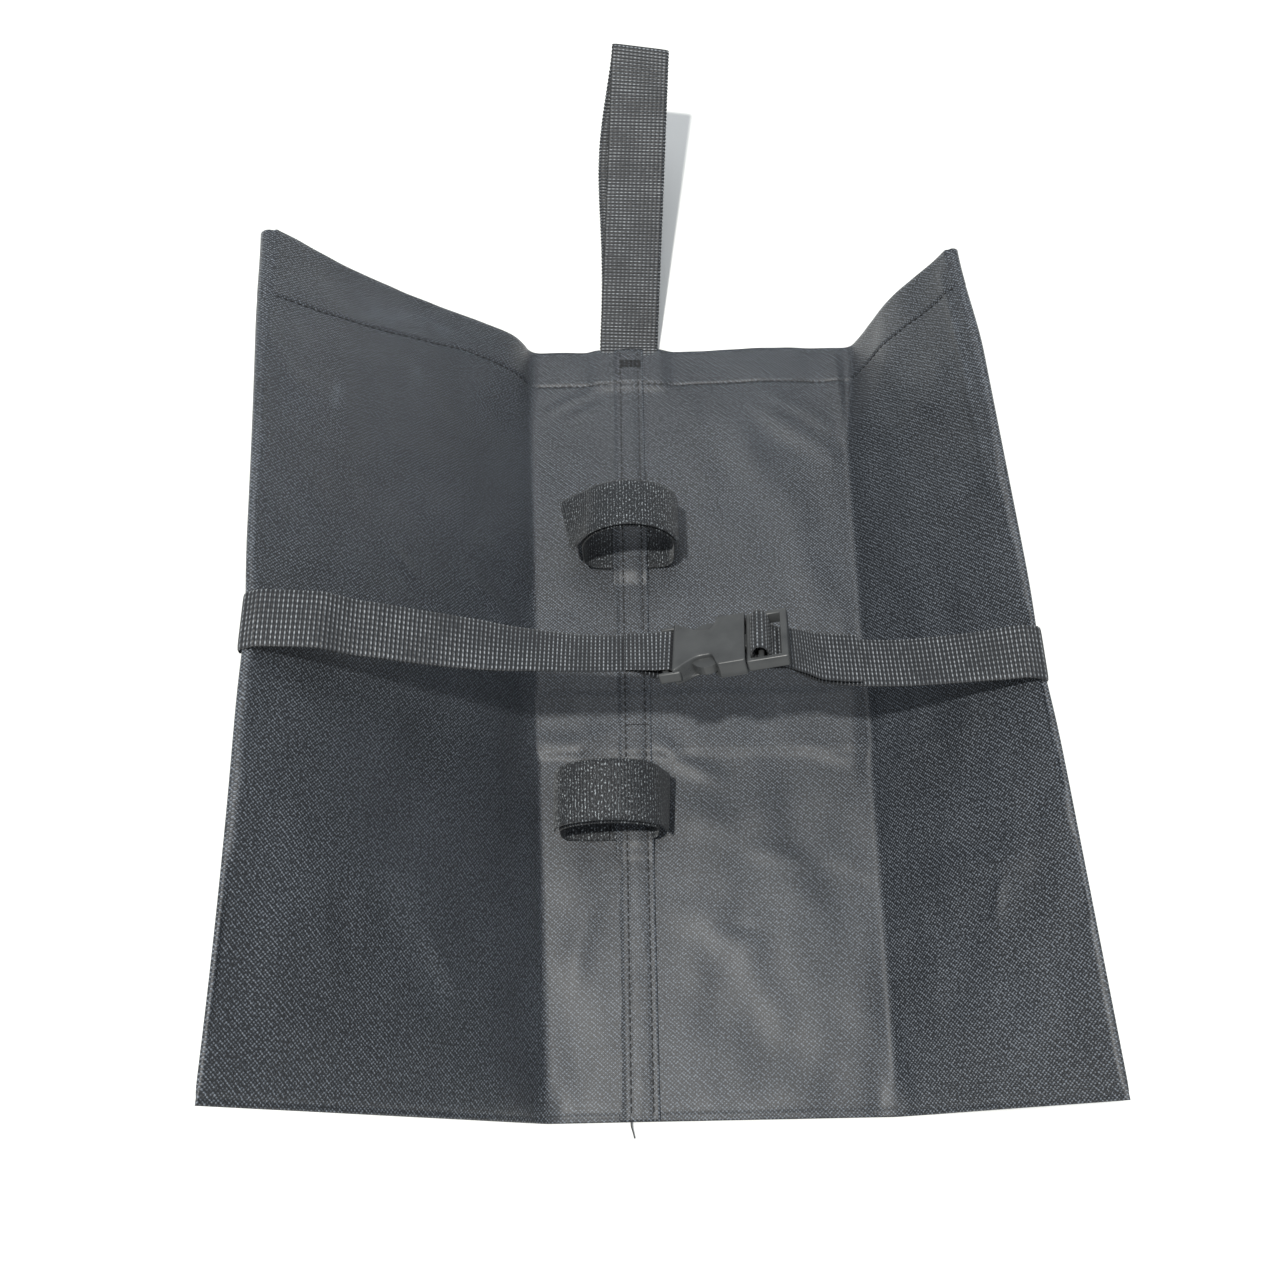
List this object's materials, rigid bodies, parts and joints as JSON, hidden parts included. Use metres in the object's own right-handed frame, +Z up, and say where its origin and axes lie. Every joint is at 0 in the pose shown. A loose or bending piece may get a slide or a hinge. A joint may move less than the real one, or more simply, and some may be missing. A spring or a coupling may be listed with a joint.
{
  "type": "canopy leg weight bag",
  "caption": "Flat, empty two-chamber fabric weight bag for a canopy leg, folded up at both sides by a side-release belt, with hook-and-loop leg straps and a webbing handle.",
  "frame": {"origin": "underside of the back panel, under the centre seam and half way along the bag", "axes": "+X across the bag, +Y along the seam towards the carrying handle, +Z up out of the front face"},
  "size_m": [0.3625, 0.5525, 0.1378],
  "materials": {
    "coated_oxford": "matte coated oxford weave",
    "webbing": "ribbed polyester webbing, slight sheen",
    "hook_and_loop": "fuzzy hook-and-loop tape",
    "acetal": "matte moulded plastic",
    "thread": "polyester sewing thread"
  },
  "bodies": {
    "bag_centre": {"centre_back_panel": "coated_oxford", "left_centre_front_panel": "coated_oxford", "right_centre_front_panel": "coated_oxford", "seam_flap": "coated_oxford", "seam_stitch_left_row": "thread", "seam_stitch_right_row": "thread", "left_centre_hem_stitch": "thread", "right_centre_hem_stitch": "thread", "centre_bottom_seam": "coated_oxford", "belt_back_run": "webbing", "handle_bartack": "thread", "belt_bartack": "thread", "upper_leg_strap_loop": "hook_and_loop", "lower_leg_strap_loop": "hook_and_loop"},
    "left_wing": {"left_chamber_front": "coated_oxford", "left_chamber_back": "coated_oxford", "left_bottom_seam": "coated_oxford", "left_hem_stitch": "thread", "left_mouth_hook_tape": "hook_and_loop", "left_mouth_loop_tape": "hook_and_loop", "belt_left_run": "webbing"},
    "right_wing": {"right_chamber_front": "coated_oxford", "right_chamber_back": "coated_oxford", "right_bottom_seam": "coated_oxford", "right_hem_stitch": "thread", "right_mouth_hook_tape": "hook_and_loop", "right_mouth_loop_tape": "hook_and_loop", "belt_right_run": "webbing"},
    "belt_and_socket": {"belt_left_span": "webbing", "buckle_socket": "acetal"},
    "belt_load_side": {"belt_right_span": "webbing"},
    "plug": {"buckle_plug": "acetal", "belt_ladder_wrap": "webbing"},
    "belt_free_end": {"belt_tail": "webbing"},
    "near_prong": {"buckle_prong_near": "acetal"},
    "far_prong": {"buckle_prong_far": "acetal"},
    "handle": {"handle_webbing": "webbing"},
    "upper_flap": {"upper_leg_strap_flap": "hook_and_loop"},
    "lower_flap": {"lower_leg_strap_flap": "hook_and_loop"}
  },
  "joints": [
    {"name": "left_wing_fold", "type": "hinge", "parent": "bag_centre", "child": "left_wing", "pos_m": [-0.048, 0, 0.0021], "axis": [-0.035, 0.9994, 0], "range_deg": [0, 20], "deforming": ["belt_right_span", "belt_tail"]},
    {"name": "right_wing_fold", "type": "hinge", "parent": "bag_centre", "child": "right_wing", "pos_m": [0.113, 0, 0.0021], "axis": [-0.02, -0.9998, 0], "range_deg": [0, 20]},
    {"name": "left_belt_turn", "type": "hinge", "parent": "left_wing", "child": "belt_and_socket", "pos_m": [-0.15226, -0.019, 0.12822], "axis": [0, -1, 0], "range_deg": [0, 16]},
    {"name": "right_belt_turn", "type": "hinge", "parent": "right_wing", "child": "belt_load_side", "pos_m": [0.17474, -0.019, 0.0794], "axis": [0, 1, 0], "range_deg": [0, 26]},
    {"name": "buckle_release", "type": "slide", "parent": "belt_and_socket", "child": "plug", "axis": [0.969, 0.0508, 0.2419], "range_m": [0, 0.025], "deforming": ["buckle_prong_near", "buckle_prong_far"]},
    {"name": "belt_tail_feed", "type": "slide", "parent": "plug", "child": "belt_free_end", "axis": [0.9863, 0, 0.1652], "range_m": [0, 0.08]},
    {"name": "near_prong_squeeze", "type": "hinge", "parent": "plug", "child": "near_prong", "pos_m": [0.04649, -0.02583, 0.1011], "axis": [0.239, -0.4421, -0.8645], "range_deg": [0, 6], "stiffness_Nm_per_rad": 0.05},
    {"name": "far_prong_squeeze", "type": "hinge", "parent": "plug", "child": "far_prong", "pos_m": [0.0475, -0.01151, 0.09405], "axis": [-0.239, 0.4421, 0.8645], "range_deg": [0, 6], "stiffness_Nm_per_rad": 0.05},
    {"name": "handle_swing", "type": "hinge", "parent": "bag_centre", "child": "handle", "pos_m": [0, 0.2012, 0.006], "axis": [1, 0, 0], "range_deg": [-12, 120]},
    {"name": "upper_leg_strap_open", "type": "hinge", "parent": "bag_centre", "child": "upper_flap", "pos_m": [0.023, 0.079, 0.02465], "axis": [0, 1, 0], "range_deg": [0, 110]},
    {"name": "lower_leg_strap_open", "type": "hinge", "parent": "bag_centre", "child": "lower_flap", "pos_m": [-0.037, -0.063, 0.02025], "axis": [0, -1, 0], "range_deg": [0, 60]}
  ],
  "couplings": [
    {"joint": "right_wing_fold", "follows": "left_wing_fold", "ratio": 1},
    {"joint": "left_belt_turn", "follows": "left_wing_fold", "ratio": 0.75},
    {"joint": "right_belt_turn", "follows": "left_wing_fold", "ratio": 1.25},
    {"joint": "belt_tail_feed", "follows": "left_wing_fold", "m_per_rad": 0.213},
    {"joint": "far_prong_squeeze", "follows": "near_prong_squeeze", "ratio": 1}
  ]
}
